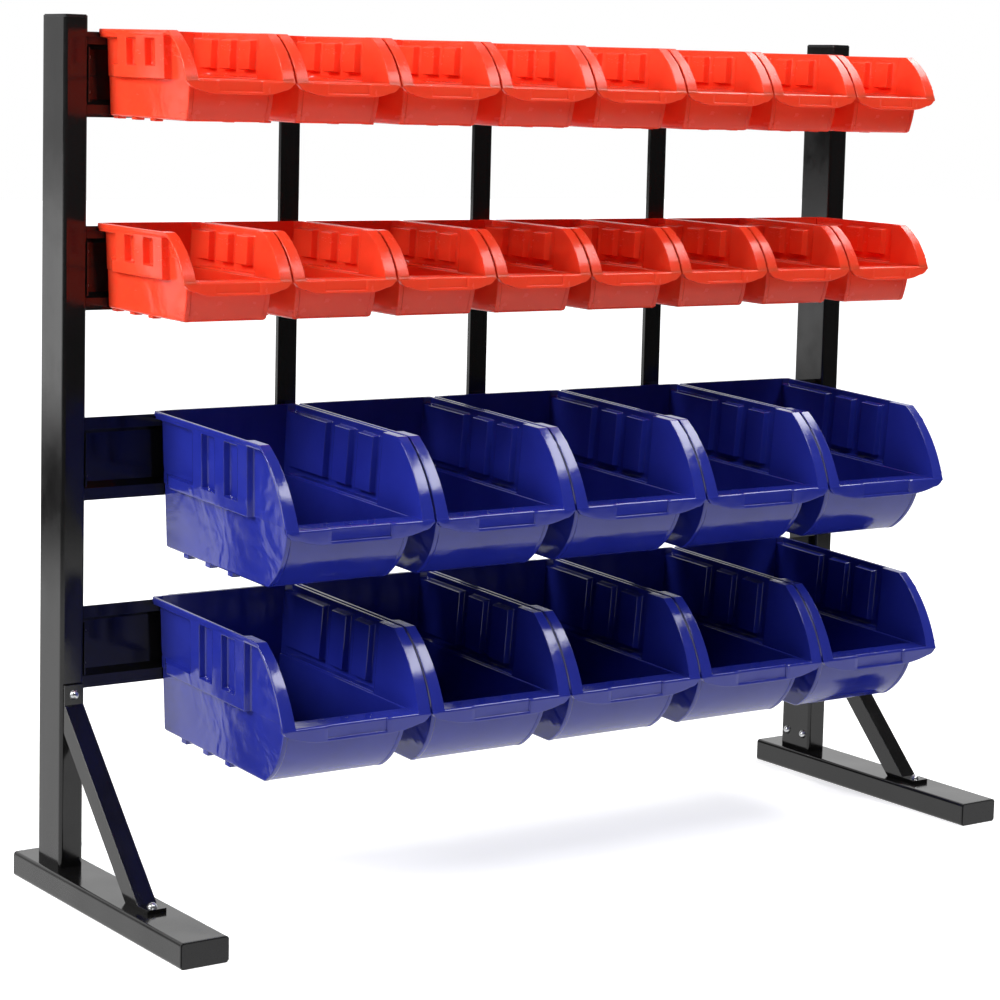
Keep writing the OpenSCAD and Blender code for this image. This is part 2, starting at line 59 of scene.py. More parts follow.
class Shader:
    """A node material with one principled shader, and short calls to build its inputs."""

    def __init__(self, name):
        self.material = bpy.data.materials.new(name)
        self.material.use_nodes = True
        self.tree = self.material.node_tree
        self.tree.nodes.clear()
        self.out = self.node("ShaderNodeOutputMaterial")
        self.bsdf = self.node("ShaderNodeBsdfPrincipled")
        self.link(self.bsdf, "BSDF", self.out, "Surface")
        self.coords = self.node("ShaderNodeTexCoord")

    def node(self, kind, **settings):
        made = self.tree.nodes.new(kind)
        for key, value in settings.items():
            setattr(made, key, value)
        return made

    def link(self, a, out, b, into):
        self.tree.links.new(a.outputs[out], b.inputs[into])

    def set(self, **values):
        """Sets the principled shader's own sockets, named in small letters."""
        for key, value in values.items():
            self.bsdf.inputs[key.replace("_", " ").title().replace("Ior", "IOR")].default_value = value

    def noise(self, scale, detail=3.0, rough=0.5, distort=0.0, stretch=(1, 1, 1)):
        """Noise in the object's own metres, stretched along an axis where asked."""
        place = self.node("ShaderNodeMapping")
        place.inputs["Scale"].default_value = stretch
        self.link(self.coords, "Object", place, "Vector")
        made = self.node("ShaderNodeTexNoise")
        made.inputs["Scale"].default_value = scale
        made.inputs["Detail"].default_value = detail
        made.inputs["Roughness"].default_value = rough
        made.inputs["Distortion"].default_value = distort
        self.link(place, "Vector", made, "Vector")
        return made

    def ramp(self, source, stops):
        """Colours at places along a noise."""
        made = self.node("ShaderNodeValToRGB")
        points = made.color_ramp.elements
        while len(points) < len(stops):
            points.new(0.5)
        for point, (where, colour) in zip(points, stops):
            point.position = where
            point.color = (*colour, 1)
        self.link(source, "Fac", made, "Fac")
        return made

    def span(self, source, low, high, at=(0.3, 0.7), out="Fac"):
        """A number that goes from low to high as the source goes over the given stretch."""
        made = self.node("ShaderNodeMapRange")
        made.inputs["From Min"].default_value = at[0]
        made.inputs["From Max"].default_value = at[1]
        made.inputs["To Min"].default_value = low
        made.inputs["To Max"].default_value = high
        self.link(source, out, made, "Value")
        return made

    def bump(self, source, height, before=None, out="Fac"):
        """Relief of a height in metres, on top of an earlier one where given."""
        made = self.node("ShaderNodeBump")
        made.inputs["Strength"].default_value = 1.0
        made.inputs["Distance"].default_value = height
        self.link(source, out, made, "Height")
        if before is not None:
            self.link(before, "Normal", made, "Normal")
        return made


def plastic(name, deep, plain, pale, rough, shine, glow, depth):
    """Glossy moulded polypropylene: cloudy colour, slow waves from moulding, fine grain and dull scuffs.

    The waves are strongest on the side walls. glow is the share of light that scatters inside the wall,
    and depth how far each colour of it goes, in metres.
    """
    s = Shader(name)
    cloud = s.noise(9, detail=4, distort=0.6)
    tint = s.ramp(cloud, [(0.30, deep), (0.55, plain), (0.8, pale)])
    s.link(tint, "Color", s.bsdf, "Base Color")
    scuff = s.noise(55, detail=6, rough=0.65, stretch=(1, 0.25, 1))
    s.link(s.span(scuff, rough - 0.04, rough + 0.12, (0.45, 0.75)), "Result", s.bsdf, "Roughness")
    facing = s.node("ShaderNodeSeparateXYZ")
    s.link(s.coords, "Normal", facing, "Vector")
    sideways = s.node("ShaderNodeMath", operation="ABSOLUTE")
    s.link(facing, "X", sideways, 0)
    wave = s.node("ShaderNodeMath", operation="MULTIPLY")
    s.link(s.noise(14, detail=2, distort=1.2), "Fac", wave, 0)
    s.link(s.span(sideways, 0.35, 1.0, (0.2, 0.9), "Value"), "Result", wave, 1)
    waves = s.bump(wave, 0.0016, out="Value")
    ripple = s.bump(s.noise(90, detail=2), 0.00012, before=waves)
    grain = s.bump(s.noise(1400, detail=2), 0.00002, before=ripple)
    s.link(grain, "Normal", s.bsdf, "Normal")
    s.set(ior=1.55, specular_ior_level=shine)
    s.set(subsurface_weight=glow, subsurface_radius=depth, subsurface_scale=1.0)
    return s.material


def paint(name):
    """Gloss black powder coat with fine orange peel, dust-dull patches and slight colour drift."""
    s = Shader(name)
    drift = s.noise(6, detail=4)
    tint = s.ramp(drift, [(0.3, (0.0035, 0.0034, 0.0036)), (0.7, (0.0065, 0.0062, 0.0062))])
    s.link(tint, "Color", s.bsdf, "Base Color")
    dull = s.noise(30, detail=6, rough=0.6)
    s.link(s.span(dull, 0.10, 0.22, (0.4, 0.8)), "Result", s.bsdf, "Roughness")
    peel = s.bump(s.noise(420, detail=2), 0.00002)
    sag = s.bump(s.noise(12, detail=1, stretch=(1, 1, 0.3)), 0.0012, before=peel)
    s.link(sag, "Normal", s.bsdf, "Normal")
    s.set(ior=1.52, specular_ior_level=0.52)
    return s.material


def cap_plastic(name):
    """Black moulded plastic with a fine spark texture."""
    s = Shader(name)
    grain = s.noise(900, detail=3)
    tint = s.ramp(grain, [(0.3, (0.004, 0.004, 0.005)), (0.8, (0.009, 0.009, 0.010))])
    s.link(tint, "Color", s.bsdf, "Base Color")
    s.link(s.span(grain, 0.26, 0.4), "Result", s.bsdf, "Roughness")
    s.link(s.bump(grain, 0.00004), "Normal", s.bsdf, "Normal")
    return s.material


def zinc(name):
    """Bright zinc plate: fine spangle with duller patches."""
    s = Shader(name)
    spangle = s.noise(700, detail=3)
    tint = s.ramp(spangle, [(0.3, (0.52, 0.53, 0.55)), (0.7, (0.78, 0.79, 0.80))])
    s.link(tint, "Color", s.bsdf, "Base Color")
    s.link(s.span(s.noise(160, detail=4), 0.2, 0.42), "Result", s.bsdf, "Roughness")
    s.link(s.bump(spangle, 0.00003), "Normal", s.bsdf, "Normal")
    s.set(metallic=1.0)
    return s.material


MATERIALS = {
    "frame_paint": paint("frame_paint"),
    "cap_plastic": cap_plastic("cap_plastic"),
    "zinc": zinc("zinc"),
    "red_plastic": plastic(
        "red_plastic", deep=(0.86, 0.050, 0.018), plain=(0.92, 0.065, 0.024), pale=(0.95, 0.080, 0.032),
        rough=0.22, shine=0.32, glow=0.4, depth=(0.008, 0.0010, 0.0005)),
    "blue_plastic": plastic(
        "blue_plastic", deep=(0.013, 0.020, 0.25), plain=(0.017, 0.026, 0.29), pale=(0.020, 0.031, 0.33),
        rough=0.12, shine=0.62, glow=0.0, depth=(0.001, 0.001, 0.003)),
}


# Rounded edges on the CAD nodes

RAIL_EDGE, STRUT_EDGE, BRACE_EDGE = 0.9 * MM, 2.5 * MM, 1.2 * MM
WELD_GAP = 0.02 * MM  # points closer than this are one
FLAT_ANGLE = 0.5      # faces that meet at less than this many degrees are one
EDGE_ANGLE = 35       # edges sharper than this many degrees are rounded
EDGE_STEPS = 3


def soften(node, width):
    """Joins a node's split faces and rounds its sharp edges."""
    weld = node.modifiers.new("weld", "WELD")
    weld.merge_threshold = WELD_GAP
    flat = node.modifiers.new("flat", "DECIMATE")
    flat.decimate_type = "DISSOLVE"
    flat.angle_limit = math.radians(FLAT_ANGLE)
    edge = node.modifiers.new("edge", "BEVEL")
    edge.width = width
    edge.segments = EDGE_STEPS
    edge.limit_method = "ANGLE"
    edge.angle_limit = math.radians(EDGE_ANGLE)
    edge.use_clamp_overlap = True
    edge.harden_normals = False
    for face in node.data.polygons:
        face.use_smooth = True
    normals = node.modifiers.new("normals", "WEIGHTED_NORMAL")
    normals.keep_sharp = False


for name, node in nodes.items():
    node.data.materials.clear()
    node.data.materials.append(MATERIALS[SLOT_OF[name]])
    if SLOT_OF[name] == "frame_paint":
        for kind, width in (("rail_", RAIL_EDGE), ("strut", STRUT_EDGE), ("brace", BRACE_EDGE)):
            if kind in name:
                soften(node, width)


# Moulded bins, in millimetres with the rim's back edge at the origin and the front towards -Y

PAST_BACK = -100.0  # start of the rearmost pocket, which runs out at the back


class Sizes:
    """Sizes of one kind of bin: those that both kinds share, and those that each is given."""

    wall, draft, step = 2.0, math.tan(math.radians(2.4)), 1.0
    panel_out, rim_out, rim_t = 7.5, 0.9, 5.5
    flange_out, flange_t, edge_set = 9.0, 3.2, 1.0
    rib, pocket_top, pocket_band, panel_back = 19.5, 8.5, 10.5, 10.0
    lip_h, lip_rise, lip_r, lip_t = 16.0, 6.0, 9.0, 2.2
    slot_t, slot_ledge = 2.0, 3.0
    lug_l, lug_set, lug_h, lug_w, lug_inset = 10.5, 6.5, 4.0, 9.0, 1.0
    hook_t, hook_drop, hook_play, seat_gap = 2.6, 9.0, 0.8, 0.3
    hook_inset, hook_sink, rail_t = 12.0, 0.4, 1.5

    def __init__(self, w, d, h, crease, rim_l, panel_l, pocket_l, reach, run, open_r, fall, slot_w):
        """Width, depth and height, depth of the crease below the rim, and lengths from the back.

        rim_l and panel_l are where the rim and the pressed panel end, pocket_l is a pocket's length, reach
        is how far the lip stands ahead of the front wall, run how far that wall curves back to its foot,
        open_r the radius of the opening's edge, fall the tilt in degrees and slot_w the label slot's width.
        """
        self.w, self.d, self.h, self.crease = w, d, h, crease
        self.rim_l, self.panel_l, self.pocket_l = rim_l, panel_l, pocket_l
        self.open_r, self.slot_w, self.reach = open_r, slot_w, reach
        self.fall = math.radians(fall)
        self.lean = math.tan(self.fall)
        self.wall_x = w / 2 - self.flange_out
        self.rim_x = self.wall_x + self.panel_out + self.rim_out
        self.foot_x = self.wall_x - h * self.draft - self.step
        self.front_l = d - reach
        drop = h - crease
        self.front_r = (run * run + drop * drop) / (2 * run)
        back = panel_l - 3 * self.rib - 2 * pocket_l
        self.fronts = [back + i * (self.rib + pocket_l) for i in range(3)]
        self.backs = [PAST_BACK, self.fronts[0] + self.rib, self.fronts[1] + self.rib]
        self.pocket_low = crease - self.pocket_band
        # Centre of the opening's arc, as (distance ahead of the back, height)
        ax, az = rim_l, 0.0
        bx, bz = d - self.edge_set, -crease
        half = math.hypot(bx - ax, bz - az) / 2
        away = math.sqrt(open_r ** 2 - half ** 2) / (2 * half)
        self.open_c = ((ax + bx) / 2 + (bz - az) * away, (az + bz) / 2 - (bx - ax) * away)

    def open_at(self, z, inset=0.0):
        """Distance from the back to the opening's edge at height z, drawn in by inset."""
        r = self.open_r - inset
        return self.open_c[0] + math.sqrt(r * r - (z - self.open_c[1]) ** 2)

    def front_at(self, z, inset=0.0):
        """Distance from the back to the front wall at height z."""
        r = self.front_r - inset
        return self.front_l - self.front_r + math.sqrt(max(0.0, r * r - (z + self.crease) ** 2))


RED = Sizes(w=115, d=181, h=83.5, crease=43.5, rim_l=142, panel_l=132, pocket_l=18.5, reach=17.5,
            run=7.5, open_r=78, fall=0.6, slot_w=46)
BLUE = Sizes(w=163.8, d=267, h=138, crease=71.5, rim_l=212, panel_l=186, pocket_l=25, reach=21,
             run=38, open_r=140, fall=2.5, slot_w=66)
# The small bins have lower feet and a lower lip than the large ones
RED.lug_h, RED.lip_h, RED.lip_rise = 2.2, 14.0, 4.5

SOFT = 0.75       # half the width of a moulded step
TIP_R = 1.0       # rounding of the outer edges
LIP_TIP = 0.7     # rounding of the inner edges
CORNER_R = 2.0    # rounding of the tub's upright corners
BACK_R = 2.0      # rounding of the upper walls' back corners
FLOOR_R = 2.5     # rounding round the bottom
LEDGE_R = 1.4     # rounding of the ledge inside the crease
SHELF_R = 2.6     # rounding of the front lip's upper edge
LIP_CORNER = 3.0  # growth of the front lip's round corners where they run into the flange
WALL_FOOT = 2.0   # reach of the upper walls below the crease
FRONT_SINK = 1.2  # depth of the front wall behind its upright edges
FRONT_EDGE = 1.5  # width of those edges
TUB_ROWS = 14     # rows up the tub's walls
INNER_FLOOR_R, INNER_CORNER_R, INNER_BACK_R = 1.0, 1.5, 1.0  # the same roundings on the inner faces
INNER_SINK = 0.6  # share of the front wall's depth that shows inside
SKIRT_LEAST = 0.8  # least height of the lip's skirt below its rounded upper edge
SKIRT_R = 0.7     # rounding of the skirt's lower edge
LUG_R = 0.9       # rounding of the feet
HOOK_R = 0.6      # rounding of the hook
JUMP = 0.05       # half the stretch in which the lip's outline changes at once
SHARP_ANGLE = 80  # edges sharper than this many degrees keep split normals
CLOSEST = 0.12    # smallest distance between two rows of a wall
S_WIDEST, Z_WIDEST = 5.0, 4.0  # largest distances between two rows of a wall, along and up
SAMPLES = (-1.0, -0.4, 0.4, 1.0)  # rows across a moulded step, in shares of SOFT
ROUND = (0.0, 0.12, 0.4, 1.0)     # rows across a rounded edge, in shares of its radius
TURN = tuple(math.radians(a) for a in (0, 22.5, 45, 67.5, 90))  # points round a quarter turn


def fade(x, low, high):
    """0 up to low and 1 from high on, with a slow change between."""
    u = min(1.0, max(0.0, (x - low) / (high - low)))
    return u * u * (3 - 2 * u)


def rise(x, edge):
    """0 before a moulded edge and 1 after it, with a soft step between."""
    return fade(x, edge - SOFT, edge + SOFT)


def between(x, low, high):
    """1 between two moulded edges and 0 outside them."""
    return rise(x, low) * (1 - rise(x, high))


def round_in(r, q):
    """How far a rounded edge of radius r draws in at a distance q from it."""
    return r - math.sqrt(r * r - (r - q) ** 2) if 0 <= q < r else 0.0


def lines(edges, low, high, widest):
    """Sorted positions from low to high: clusters at the edges, and none further apart than widest."""
    found = {low, high}
    for e in edges:
        found.update(e + SOFT * k for k in SAMPLES)
    kept = []
    for x in sorted(x for x in found if low <= x <= high):
        if not kept or x - kept[-1] > CLOSEST:
            kept.append(x)
    kept[-1] = high
    full = [kept[0]]
    for x in kept[1:]:
        n = max(1, math.ceil((x - full[-1]) / widest))
        start = full[-1]
        full += [start + (x - start) * k / n for k in range(1, n + 1)]
    return full


class Shells:
    """Collects closed shells into one mesh."""

    def __init__(self):
        self.points, self.faces = [], []

    def add(self, points, faces):
        base = len(self.points)
        self.points += points
        self.faces += [tuple(base + i for i in f) for f in faces]

    def skin(self, outer, inner, closed, caps=False):
        """A wall between two grids of rows.

        Closed rows join end to end, and caps close the first row of each grid.
        """
        rows, n = len(outer), len(outer[0])
        points = [p for row in outer for p in row] + [p for row in inner for p in row]
        half = rows * n
        faces = []
        span = n if closed else n - 1
        for j in range(rows - 1):
            for i in range(span):
                a, b = j * n + i, j * n + (i + 1) % n
                faces.append((a, b, b + n, a + n))
                faces.append((half + a + n, half + b + n, half + b, half + a))
        top = (rows - 1) * n
        for i in range(span):
            k = (i + 1) % n
            faces.append((top + i, top + k, half + top + k, half + top + i))
            if not caps:
                faces.append((k, i, half + i, half + k))
        if caps:
            faces.append(tuple(reversed(range(n))))
            faces.append(tuple(half + i for i in range(n)))
        if not closed:
            for j in range(rows - 1):
                a, b = j * n, j * n + n
                faces.append((a, b, half + b, half + a))
                a, b = a + n - 1, b + n - 1
                faces.append((b, a, half + a, half + b))
        self.add(points, faces)

    def loft(self, sections):
        """Closed sections joined one to the next and closed at both ends."""
        n = len(sections[0])
        points = [p for s in sections for p in s]
        faces = []
        for j in range(len(sections) - 1):
            for i in range(n):
                a, b = j * n + i, j * n + (i + 1) % n
                faces.append((a, b, b + n, a + n))
        last = (len(sections) - 1) * n
        faces.append(tuple(reversed(range(n))))
        faces.append(tuple(last + i for i in range(n)))
        self.add(points, faces)

    def block(self, low, high, r):
        """A box with rounded edges, as a loft of rounded outlines along Z."""
        def outline(inset, z):
            x0, y0, x1, y1 = low[0] + inset, low[1] + inset, high[0] - inset, high[1] - inset
            rr = max(r - inset, 0.05)
            points = []
            for cx, cy, start in ((x1 - rr, y1 - rr, 0), (x0 + rr, y1 - rr, 90),
                                  (x0 + rr, y0 + rr, 180), (x1 - rr, y0 + rr, 270)):
                for k in range(4):
                    a = math.radians(start + 30 * k)
                    points.append((cx + rr * math.cos(a), cy + rr * math.sin(a), z))
            return points
        sections = [outline(r * (1 - math.sin(a)), low[2] + r * (1 - math.cos(a))) for a in TURN]
        sections += [outline(r * (1 - math.sin(a)), high[2] - r * (1 - math.cos(a)))
                     for a in reversed(TURN)]
        self.loft(sections)


def upper_walls(b, shells):
    """Side walls above the crease with their pressed panels, rim and front flange, and the back wall."""
    t = b.wall
    side_edges = [b.panel_l, b.panel_l - t]
    for back, front in zip(b.backs, b.fronts):
        side_edges += [front, front + t] + ([back, back - t] if back > 0 else [])
    s_lines = lines(side_edges, 8.0, b.panel_l + 1.6 * SOFT, S_WIDEST)
    z_edges = [-b.pocket_top, -b.pocket_top + t, -b.pocket_low, -b.pocket_low - t,
               -b.rim_t, t - b.crease]
    low = -b.crease - WALL_FOOT
    z_lines = lines(z_edges, low + TIP_R, -TIP_R, Z_WIDEST)
    z_lines = [low + TIP_R * k for k in ROUND[:-1]] + z_lines
    z_lines += [-TIP_R * k for k in reversed(ROUND[:-1])]
    insets = [b.flange_t + SOFT * k for k in reversed(SAMPLES)]
    insets += [TIP_R * k for k in reversed(ROUND)]

    def pressed(s, z, grow):
        """Share of the panel's depth at a place; grow widens the pockets for the inner face."""
        m = 1 - rise(s, b.panel_l - grow)
        tall = between(-z, b.pocket_top - grow, b.pocket_low + grow)
        for back, front in zip(b.backs, b.fronts):
            m *= 1 - between(s, back - grow, front + grow) * tall
        m *= 1 - (1 - fade(s - 2 * grow, b.panel_back, 3 * b.panel_back)) * rise(-z, b.pocket_low - 1)
        if grow:
            m *= (1 - rise(-z, b.crease - grow)) * rise(s, 2 * grow)
        return m

    def from_edge(s, z):
        """Distance of a place behind the opening's edge."""
        return b.open_r - math.hypot(s - b.open_c[0], z - b.open_c[1])

    def outer_x(s, z):
        wall = b.wall_x + z * b.draft
        edge = from_edge(s, z)
        x = wall + b.panel_out * pressed(s, z, 0)
        x = max(x, wall + (b.rim_x - wall) * rise(z, -b.rim_t))
        x = max(x, wall + (b.w / 2 - wall) * (1 - rise(edge, b.flange_t)) * rise(s, b.panel_l))
        foot = round_in(TIP_R, z - low) * (1 - rise(s, b.panel_l))
        return x - round_in(TIP_R, -z) - round_in(TIP_R, edge) - foot

    def inner_x(s, z):
        wall = b.wall_x + z * b.draft
        edge = from_edge(s, z)
        x = wall - t + b.panel_out * pressed(s, z, t)
        return x + round_in(LIP_TIP, -z) + round_in(LIP_TIP, edge)

    def half_row(z, depth, radius, side_x):
        """Points from the middle of the back round the corner to the opening's edge."""
        back = -z * b.lean + depth
        corner = side_x(back + radius, z)
        row = [((corner - radius) * k / 6, back) for k in range(6)]
        for a in TURN:
            s = back + radius * (1 - math.cos(a))
            row.append((corner - radius * (1 - math.sin(a)), s))
        start = back + radius
        along = [start + (s_lines[0] - back - radius) * k for k in (0.35, 0.7)]
        along += s_lines + [b.open_at(z, i) for i in insets]
        return row + [(side_x(s, z), s) for s in along]

    def grid(depth, radius, side_x):
        rows = []
        for z in z_lines:
            right = [(x, -s, z) for x, s in half_row(z, depth, radius, side_x)]
            rows.append([(-x, y, z) for x, y, z in reversed(right[1:])] + right)
        return rows

    shells.skin(grid(0.0, BACK_R, outer_x), grid(t, INNER_BACK_R, inner_x), closed=False)


def tub(b, shells):
    """The closed lower part of a bin with its curved front wall."""
    t = b.wall

    def loop(z, half, back, front, r, sink):
        """A rounded rectangle at height z, its front drawn in by sink between the upright edges."""
        points = []
        for cx, cy, start in ((half - r, -back - r, 0), (r - half, -back - r, 90),
                              (r - half, r - front, 180), (half - r, r - front, 270)):
            for k in range(6):
                a = math.radians(start + 18 * k)
                points.append((cx + r * math.cos(a), cy + r * math.sin(a), z))
            if start == 180:
                inner = half - r - FRONT_EDGE
                steps = [(inner - 2 * FRONT_SINK * k, sink * fade(k, 0, 1))
                         for k in (0, 0.25, 0.5, 0.75, 1)]
                points += [(-x, deep - front, z) for x, deep in steps]
                points += [(x, deep - front, z) for x, deep in reversed(steps)]
        return points

    def row(z, inset, depth, r, sink):
        half = b.foot_x + (b.h + z) * b.draft - depth - inset
        return loop(z, half, -z * b.lean + depth + inset, b.front_at(z, depth) - inset, r, sink)

    def rows(depth, floor_r, r, sink, ledge):
        floor = depth - b.h
        made = [row(floor + floor_r * (1 - math.cos(a)), floor_r * (1 - math.sin(a)), depth, r, sink)
                for a in TURN]
        start, n = floor + floor_r, TUB_ROWS
        top = -b.crease - LEDGE_R
        made += [row(start + (top - 1 - start) * k / n, 0.0, depth, r, sink) for k in range(1, n + 1)]
        made += [row(top + LEDGE_R * math.sin(a), ledge * (1 - math.cos(a)), depth, r, sink)
                 for a in TURN]
        return made

    outer = rows(0.0, FLOOR_R, CORNER_R, FRONT_SINK, 0.0)
    inner = rows(t, INNER_FLOOR_R, INNER_CORNER_R, INNER_SINK * FRONT_SINK, -LEDGE_R)
    shells.skin(outer, inner, closed=True, caps=True)


def lip(b, shells):
    """Front lip: a shelf between the walls, and a skirt with a label slot.

    The skirt's lower edge rises to round ends that run up into the flanges.
    """
    top, skirt = -b.crease, b.lip_t + b.slot_t
    shelf_x = b.wall_x - b.crease * b.draft - b.step / 2
    wall_x = b.wall_x - b.crease * b.draft - b.wall
    corner = b.lip_r + LIP_CORNER
    end = b.w / 2 - corner
    span = end - b.slot_w / 2
    arc = (span * span + b.lip_rise ** 2) / (2 * b.lip_rise)

    def low_at(x):
        """Height of the skirt's lower edge."""
        z = -b.lip_h
        if x > b.slot_w / 2:
            z += arc - math.sqrt(arc * arc - (min(x, end) - b.slot_w / 2) ** 2)
        if x > end:
            z += corner - math.sqrt(max(0.0, corner ** 2 - (x - end) ** 2))
        return min(top + z, top - SHELF_R - SKIRT_LEAST)

    def section(x, cut, tuck):
        """Outline of the lip in (Y, Z) at one place.

        cut is the slot's depth there, and tuck draws the end in.
        """
        low = low_at(x) + tuck
        front, deep = -b.d + tuck, -b.d + skirt
        back = -b.d + b.reach + b.wall if x < shelf_x else deep + JUMP
        if x < wall_x:
            r = SHELF_R
            outline = [(back, top)]
            outline += [(front + cut + r * (1 - math.sin(a)), top - r * (1 - math.cos(a)))
                        for a in TURN]
        else:
            rise_to = [(1.75, 1.5), (1.35, 0.7), (0.95, 0.0), (0.4, -1.0), (0.0, -2.2)]
            outline = [(back, top + 1.5)] + [(front + y, top + z) for y, z in rise_to]
        ledge = min(low + b.slot_ledge, outline[-1][1] - 0.25)
        outline += [(front + cut, ledge + 0.2), (front + cut * 0.5, ledge), (front, ledge - 0.2)]
        rr = min(SKIRT_R, (ledge - low) * 0.45)
        outline += [(front + rr * (1 - math.cos(a)), low + rr * (1 - math.sin(a))) for a in TURN]
        outline += [(deep, low), (deep, top - b.lip_t - 0.02), (back, top - b.lip_t)]
        return [(x, y, z) for y, z in outline]

    half = b.slot_w / 2
    stations = [(x, b.slot_t) for x in (0.0, half * 0.5, half - 0.5, half - 0.1)]
    stations += [(half + 0.35, 0.0)]
    stations += [(half + (end - half) * k / 7, 0.0) for k in range(1, 8)]
    stations += [(x + side * JUMP, 0.0) for x in (shelf_x, wall_x) for side in (-1, 1)]
    stations += [(end + corner * math.sin(math.radians(a)), 0.0) for a in (12, 24, 36, 47, 57, 66, 74)]
    last = b.w / 2
    right = [section(x, cut, 0.0) for x, cut in sorted(stations)]
    right += [section(last - back, 0.0, tuck) for back, tuck in ((0.35, 0.15), (0.1, 0.45), (0.0, 0.9))]
    left = [[(-x, y, z) for x, y, z in s] for s in reversed(right[1:])]
    shells.loft(left + right)


def bin_mesh(name, b, material):
    """The whole moulding as one mesh in metres, tilted forwards as it hangs on its rail."""
    shells = Shells()
    upper_walls(b, shells)
    tub(b, shells)
    lip(b, shells)
    lug_x = b.foot_x - b.lug_inset - b.lug_w
    for side in (-1, 1):
        for front in b.fronts:
            y = b.pocket_l + b.lug_set - front
            x0, x1 = sorted((side * lug_x, side * (lug_x + b.lug_w)))
            low, high = (x0, y - b.lug_l / 2, -b.h - b.lug_h), (x1, y + b.lug_l / 2, -b.h + 1)
            shells.block(low, high, LUG_R)
    c, s = math.cos(b.fall), math.sin(b.fall)
    shells.points = [(x, y * c - z * s, y * s + z * c) for x, y, z in shells.points]
    half = b.w / 2 - b.flange_out - b.hook_inset
    behind = b.seat_gap + b.rail_t + b.hook_play
    top = -b.hook_sink
    back = behind + b.hook_t
    shells.block((-half, -b.wall / 2, top - b.hook_t), (half, back, top), HOOK_R)
    shells.block((-half, behind, top - b.hook_t - b.hook_drop), (half, back, top - 0.1), HOOK_R)
    mesh = bpy.data.meshes.new(name)
    mesh.from_pydata([tuple(v * MM for v in p) for p in shells.points], [], shells.faces)
    work = bmesh.new()
    work.from_mesh(mesh)
    bmesh.ops.recalc_face_normals(work, faces=work.faces)
    work.to_mesh(mesh)
    work.free()
    for face in mesh.polygons:
        face.use_smooth = True
    mesh.set_sharp_from_angle(angle=math.radians(SHARP_ANGLE))
    mesh.materials.append(material)
    return mesh


def hang(names, b, slot):
    """One shared moulding in the place of every bin of a colour."""
    mesh = bin_mesh(slot + "_bin", b, MATERIALS[slot])
    xs = [p.co.x for p in mesh.vertices]
    ys = [p.co.y for p in mesh.vertices]
    zs = [p.co.z for p in mesh.vertices]
    for name in names:
        low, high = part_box(name)
        made = bpy.data.objects.new(name + "_moulding", mesh)
        bpy.context.scene.collection.objects.link(made)
        middle = (low.x + high.x) / 2 - (min(xs) + max(xs)) / 2
        made.location = (middle, high.y - max(ys), high.z - max(zs))
        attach(made, name + "_body")
        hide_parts(name)
        made.modifiers.new("normals", "WEIGHTED_NORMAL").keep_sharp = True


hang(RED_BINS, RED, "red_plastic")
hang(BLUE_BINS, BLUE, "blue_plastic")


# Stage

WHITE_OUT = (0.7, 2.2)        # distances over which the paper turns pure white to the camera
TABLE_END = 0.06              # what the mirrored floor shows past the table's end
ROOM_LIGHT = 1.3              # what the mirrored room adds far away
ROOM_SIDE = (0.3, 1.5)        # places along Y over which that room begins
BACKDROP_EDGE = (0.25, 0.65)  # cosines to the backdrop's direction over which it begins


def white_stage(name, near, table, room, middle):
    """White paper that shows white to the camera and keeps the object's shadow.

    In reflections it ends like a table, with a bright room behind it. near is the light added for the
    camera at the middle, and table and room are the distances over which the table ends and the room begins.
    """
    s = Shader(name)
    s.set(base_color=(0.8, 0.8, 0.8, 1), roughness=0.9, specular_ior_level=0.0)
    away = s.node("ShaderNodeVectorMath", operation="DISTANCE")
    s.link(s.coords, "Object", away, 0)
    away.inputs[1].default_value = middle
    shine = s.node("ShaderNodeEmission")
    s.link(s.span(away, near, 1.0, WHITE_OUT, "Value"), "Result", shine, "Strength")
    mirrored = s.node("ShaderNodeEmission")
    place = s.node("ShaderNodeSeparateXYZ")
    s.link(s.coords, "Object", place, "Vector")
    far = s.node("ShaderNodeMath", operation="MULTIPLY_ADD")
    s.link(s.span(away, 0.0, ROOM_LIGHT, room, "Value"), "Result", far, 0)
    s.link(s.span(place, 0.0, 1.0, ROOM_SIDE, "Y"), "Result", far, 1)
    s.link(s.span(away, 1.0, TABLE_END, table, "Value"), "Result", far, 2)
    s.link(far, "Value", mirrored, "Strength")
    path = s.node("ShaderNodeLightPath")
    lit = s.node("ShaderNodeAddShader")
    s.link(s.bsdf, "BSDF", lit, 0)
    s.link(shine, "Emission", lit, 1)
    seen = s.node("ShaderNodeMixShader")
    s.link(path, "Is Camera Ray", seen, "Fac")
    s.link(s.bsdf, "BSDF", seen, 1)
    s.link(lit, "Shader", seen, 2)
    indirect = s.node("ShaderNodeMath", operation="MAXIMUM")
    s.link(path, "Is Glossy Ray", indirect, 0)
    s.link(path, "Is Transmission Ray", indirect, 1)
    both = s.node("ShaderNodeMixShader")
    s.link(indirect, "Value", both, "Fac")
    s.link(seen, "Shader", both, 1)
    s.link(mirrored, "Emission", both, 2)
    s.link(both, "Shader", s.out, "Surface")
    return s.material


def sheet(name, corners, material):
    """A flat piece of the stage."""
    mesh = bpy.data.meshes.new(name)
    mesh.from_pydata(corners, [], [tuple(range(len(corners)))])
    mesh.materials.append(material)
    made = bpy.data.objects.new(name, mesh)
    bpy.context.scene.collection.objects.link(made)


FLOOR = 14.0  # half the floor's width
paper = white_stage("paper", near=0.68, table=(1.75, 2.45), room=(3.3, 4.6), middle=(-0.2, 0.2, 0.0))
sheet("floor", [(-FLOOR, -FLOOR, 0), (FLOOR, -FLOOR, 0), (FLOOR, FLOOR, 0), (-FLOOR, FLOOR, 0)], paper)


